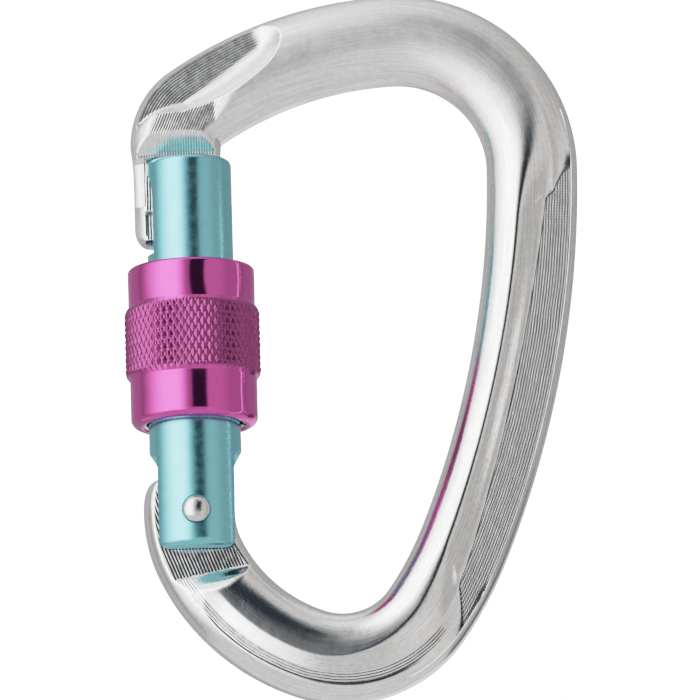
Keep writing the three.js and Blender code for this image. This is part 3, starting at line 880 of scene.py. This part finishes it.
def make_sleeve(material):
    # half a turn out of step with the gate's thread, so that the nut's ridge runs in its groove
    apart = (NUT["low"] - THREAD["low"]) / PITCH
    phase = apart - math.floor(apart) + 0.5

    def shape(r, z, a):
        nut = np.isclose(r, NUT["root"])
        r = r - np.where(nut, (NUT["root"] - NUT["crest"]) * ridge(z, a, NUT, phase), 0)
        band = np.isclose(r, KNURL["radius"])
        return r - np.where(band, KNURL["depth"] * (1 - knurling(z, a)), 0)

    verts, faces = turned_grid(sleeve_profile(), 9 * KNURL["round"], shape)
    return make_object("knurled_sleeve", verts, faces, material, "sleeve",
                       "locking_sleeve", 32)


def make_rivet(material):
    seat, head, dome, shank = (RIVET[key] for key in ("seat", "head", "dome", "shank"))
    bevel, brim = 0.12, 0.14
    half = [(shank, seat), (head - bevel, seat), (head, seat + bevel)]
    sweep = np.linspace(0, np.pi / 2, 14)
    half += [(head * math.cos(a), seat + brim + (dome - brim) * math.sin(a)) for a in sweep]
    profile = [(r, -z) for r, z in reversed(half)] + half
    profile = [(max(r, 0.0), z) for r, z in profile]
    verts, faces = turned_grid(profile, 64, closed=False)
    return make_object("domed_rivet", verts[:, [0, 2, 1]], faces, material, "gate",
                       "gate_rivet", 35)


def swept(points, radius, sides):
    """A round wire along points, with flat ends."""
    points = np.array(points)
    along = np.gradient(points, axis=0)
    along /= np.linalg.norm(along, axis=1)[:, None]
    out = points * [1, 1, 0]
    out = out - along * np.sum(out * along, axis=1)[:, None]
    out /= np.linalg.norm(out, axis=1)[:, None]
    side = np.cross(along, out)
    turn = 2 * np.pi * np.arange(sides) / sides
    ring = np.cos(turn)[None, :, None] * out[:, None] + np.sin(turn)[None, :, None] * side[:, None]
    verts = (points[:, None] + radius * ring).reshape(-1, 3)
    faces = []
    for i in range(len(points) - 1):
        for j in range(sides):
            a = i * sides + j
            b = i * sides + (j + 1) % sides
            faces.append((a, b, b + sides, a + sides))
    faces.append(tuple(range(sides - 1, -1, -1)))
    end = (len(points) - 1) * sides
    faces.append(tuple(range(end, end + sides)))
    return verts, faces


def make_ring(material):
    """Split ring of round wire, snapped into the groove in the sleeve's mouth."""
    middle = (RING["inner"] + RING["outer"]) / 2
    gap = RING["gap"] / middle
    turn = np.linspace(gap, 2 * np.pi - gap, 180)
    height = (RING["low"] + RING["high"]) / 2
    path = [(middle * math.cos(a), middle * math.sin(a), height) for a in turn]
    verts, faces = swept(path, (RING["outer"] - RING["inner"]) / 2, 16)
    return make_object("snap_ring", verts, faces, material, "sleeve_ring",
                       "retaining_ring", 50)


def make_spring(material):
    wire, mean, turns, low, high = (SPRING[key] for key in ("wire", "mean", "turns", "low", "high"))
    t = np.linspace(0, 1, turns * 36 + 1)
    # the last turn at each end is closed up against its neighbour
    squeeze = np.interp(t, [0, 1 / turns, 1 - 1 / turns, 1], [0, 0.04, 0.96, 1])
    rise = low + wire + (high - low - 2 * wire) * squeeze
    path = np.stack([mean * np.cos(2 * np.pi * turns * t), mean * np.sin(2 * np.pi * turns * t), rise], -1)
    verts, faces = swept(path, wire * 0.97, 12)
    return make_object("coil_spring", verts, faces, material, "gate",
                       "closing_spring", 50)


def make_plunger(material):
    """Round nose and shank, a flange under the spring and a pin inside it."""
    tip, radius, flange, pin, end = (PLUNGER[key] for key in ("tip", "radius", "flange", "pin", "end"))
    low, high, bevel = tip + 5.6, tip + 6.5, 0.1
    profile = fillet(0, tip, radius, -90, 12)
    profile += [(radius, low), (flange - bevel, low), (flange, low + bevel), (flange, high - bevel)]
    profile += [(flange - bevel, high), (pin, high), (pin, high + 4), (end, high + 4.5), (0, high + 4.5)]
    profile = [(max(r, 0.0), z) for r, z in profile]
    verts, faces = turned_grid(profile, 64, closed=False)
    return make_object("round_nosed_plunger", verts, faces, material, "plunger",
                       "spring_plunger", 35)


# ---------------------------------------------------------------- studio
# degrees, then metres; frame is the width seen at the distance
CAMERA = {"azimuth": 0.0, "elevation": -12.0, "roll": -1.6, "distance": 2.0, "frame": 0.1056}
AIM = (23.7, 25.1)  # x and z that the camera looks at, mm from the pivot
SENSOR = 36  # mm
LIGHT = {"room": 0.48, "box": 2.15, "card": 0.22, "back box": 0.7, "ceiling": 0.5, "table": 0.14,
         "paper": 4.2}
# the share of the light that each dark patch takes away
DARK = {"back gap": 0.65, "shade": 0.28, "rear": 0.18, "edge": 0.2, "gap": 0.92}
FILM_FULL = 4.0  # light that shows as pure white
FILM_CURVE = ((0.35, 0.355), (0.6, 0.55), (0.9, 0.69), (1.4, 0.80), (1.9, 0.88), (2.4, 0.95))


def place_camera():
    aim = pivot_point() + Vector((AIM[0], 0, AIM[1])) * MM
    azimuth = math.radians(CAMERA["azimuth"])
    elevation = math.radians(CAMERA["elevation"])
    back = Vector((-math.sin(azimuth) * math.cos(elevation), -math.cos(azimuth) * math.cos(elevation),
                   math.sin(elevation)))
    camera = bpy.data.objects.new("camera", bpy.data.cameras.new("camera"))
    bpy.context.collection.objects.link(camera)
    turn = back.to_track_quat("Z", "Y").to_matrix().to_4x4()
    turn = turn @ Matrix.Rotation(math.radians(CAMERA["roll"]), 4, "Z")
    camera.matrix_world = Matrix.Translation(aim + back * CAMERA["distance"]) @ turn
    camera.data.sensor_width = SENSOR
    camera.data.lens = SENSOR * CAMERA["distance"] / CAMERA["frame"]
    camera.data.clip_start = 0.01
    bpy.context.scene.camera = camera


def window(n, value, low, high, soft):
    """1 between low and high and 0 outside, with soft edges."""
    rise = n.smooth(value, low - soft, low + soft)
    fall = n.smooth(value, high - soft, high + soft, 1.0, 0.0)
    return n.math("MULTIPLY", rise, fall)


def patch(n, azimuth, height, sides, ends):
    """A soft-edged rectangle of the room: the lowest and highest angle and the softness of each pair."""
    return n.math("MULTIPLY", window(n, azimuth, *sides), window(n, height, *ends))


def soft_box(n, azimuth, height):
    """The big light on the left, which fades slowly towards both sides."""
    sides = n.math("MULTIPLY", n.smooth(azimuth, -104, -48), n.smooth(azimuth, -30, -6, 1.0, 0.0))
    return n.math("MULTIPLY", sides, window(n, height, -30, 62, 10))


def dark_gap(n, azimuth, height):
    """The dark gap between the soft box and the card, which widens and leans upwards."""
    widening = n.math("MULTIPLY", n.math("MAXIMUM", n.math("SUBTRACT", height, 15.0), 0.0), 0.5)
    leaning = n.math("MULTIPLY_ADD", widening, -0.5, azimuth)
    gap = n.math("MULTIPLY", n.smooth(leaning, -5.5, 0.5), window(n, height, -6, 46, 7))
    right = n.smooth(n.math("SUBTRACT", azimuth, widening), 21, 27, 1.0, 0.0)
    return n.math("MULTIPLY", gap, right)


def paper(n, direction):
    """The bright paper straight behind the part."""
    up = 0.21  # radians above the horizon, about where the camera looks
    towards = n.add("ShaderNodeVectorMath", {0: direction, 1: (0.0, math.cos(up), math.sin(up))},
                    operation="DOT_PRODUCT").outputs["Value"]
    return n.smooth(towards, math.cos(math.radians(9)), math.cos(math.radians(5)))


def dimmed(n, light, dark, share):
    return n.math("MULTIPLY", light, n.math("MULTIPLY_ADD", dark, -share, 1.0))


def lit(n, light, bright, amount):
    return n.math("MULTIPLY_ADD", bright, amount, light)


def light_studio():
    """A pale room: a big soft box on the left, a white card on the right and a dark gap between them, a
    light ceiling and table, and behind the part another box with a dark gap beside it."""
    world = bpy.data.worlds.new("studio")
    bpy.context.scene.world = world
    world.use_nodes = True
    n = Nodes(world.node_tree)
    direction = n.add("ShaderNodeTexCoord").outputs["Generated"]
    x, y, z = n.add("ShaderNodeSeparateXYZ", {"Vector": direction}).outputs
    degrees = 180 / math.pi
    azimuth = n.math("MULTIPLY", n.math("ARCTAN2", x, n.math("MULTIPLY", y, -1.0)), degrees)
    height = n.math("MULTIPLY", n.math("ARCSINE", z), degrees)
    card = patch(n, azimuth, height, (25, 104, 2), (-50, 60, 8))
    gap = dark_gap(n, azimuth, height)
    shade = n.math("MULTIPLY", n.smooth(azimuth, 48, 75), n.smooth(azimuth, 100, 125, 1.0, 0.0))
    rear = n.math("MULTIPLY", n.smooth(y, 0.2, 0.8), n.smooth(x, -0.5, 0.0))
    light = lit(n, LIGHT["room"], soft_box(n, azimuth, height), LIGHT["box"])
    light = lit(n, light, card, LIGHT["card"])
    light = lit(n, light, patch(n, azimuth, height, (146, 178, 6), (-50, 0, 8)), LIGHT["back box"])
    light = dimmed(n, light, patch(n, azimuth, height, (123, 141, 3), (-45, -3, 5)), DARK["back gap"])
    light = lit(n, light, n.smooth(height, 52, 75), LIGHT["ceiling"])
    light = lit(n, light, patch(n, azimuth, height, (-15, 40, 8), (-60, -9, 5)), LIGHT["table"])
    light = dimmed(n, light, shade, DARK["shade"])
    light = dimmed(n, light, rear, DARK["rear"])
    light = dimmed(n, light, window(n, azimuth, -112, -102, 4), DARK["edge"])
    light = dimmed(n, light, gap, DARK["gap"])
    light = lit(n, light, paper(n, direction), LIGHT["paper"] - LIGHT["room"])
    tint = n.mix_color(card, (1.0, 1.0, 1.0, 1), (1.0, 0.975, 0.95, 1))
    tint = n.mix_color(gap, tint, (0.62, 0.82, 1.0, 1))
    background = n.add("ShaderNodeBackground", {"Color": tint, "Strength": light})
    output = n.add("ShaderNodeOutputWorld")
    n.tree.links.new(background.outputs[0], output.inputs["Surface"])


def set_film():
    """A film-like response: straight up to mid tones, then a long shoulder up to white."""
    view = bpy.context.scene.view_settings
    view.view_transform = "Standard"
    view.use_curve_mapping = True
    view.curve_mapping.white_level = (FILM_FULL, FILM_FULL, FILM_FULL)
    curve = view.curve_mapping.curves[3]
    for seen, shown in FILM_CURVE:
        curve.points.new(seen / FILM_FULL, shown)
    view.curve_mapping.update()


def make_floor():
    """A plain pale floor well below the part, because the camera looks up at it."""
    size, drop = 1.3, 1.0
    mesh = bpy.data.meshes.new("floor")
    corners = [(-size, -size, -drop), (size, -size, -drop), (size, size, -drop), (-size, size, -drop)]
    mesh.from_pydata(corners, [], [(0, 1, 2, 3)])
    material, n, shader = new_material("floor_paint")
    shader.inputs["Metallic"].default_value = 0.0
    shader.inputs["Roughness"].default_value = 0.6
    n.set(shader.inputs["Base Color"], n.mix_color(n.noise(8), (0.86, 0.86, 0.86, 1), (0.9, 0.9, 0.9, 1)))
    mesh.materials.append(material)
    floor = bpy.data.objects.new("floor", mesh)
    bpy.context.collection.objects.link(floor)


# ---------------------------------------------------------------- the scene
TEAL = {"light": (0.25, 0.66, 0.73), "dark": (0.20, 0.58, 0.67), "edge": (0.55, 0.9, 0.97)}
MAGENTA = {"light": (0.72, 0.085, 0.43), "dark": (0.66, 0.07, 0.38), "edge": (0.95, 0.45, 0.8)}

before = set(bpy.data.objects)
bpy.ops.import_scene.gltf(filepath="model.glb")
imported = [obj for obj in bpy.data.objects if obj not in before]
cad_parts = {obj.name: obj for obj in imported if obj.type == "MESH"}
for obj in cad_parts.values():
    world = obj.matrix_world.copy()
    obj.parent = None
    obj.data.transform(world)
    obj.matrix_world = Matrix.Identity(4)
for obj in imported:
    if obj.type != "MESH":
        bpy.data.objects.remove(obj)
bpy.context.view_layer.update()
place_camera()
light_studio()
set_film()
make_floor()
make_body(aluminium())
make_gate(anodised("teal_anodising", TEAL, 0.25, 0.0008 * MM))
make_sleeve(anodised("magenta_anodising", MAGENTA, 0.11, 0.001 * MM, matt_and_painted_shade=(KNURL["low"], KNURL["high"])))
make_rivet(steel("rivet_steel", (0.72, 0.71, 0.69), 0.19))
SPRING_STEEL = steel("spring_steel", (0.60, 0.59, 0.57), 0.22)
make_ring(SPRING_STEEL)
make_spring(SPRING_STEEL)
make_plunger(SPRING_STEEL)
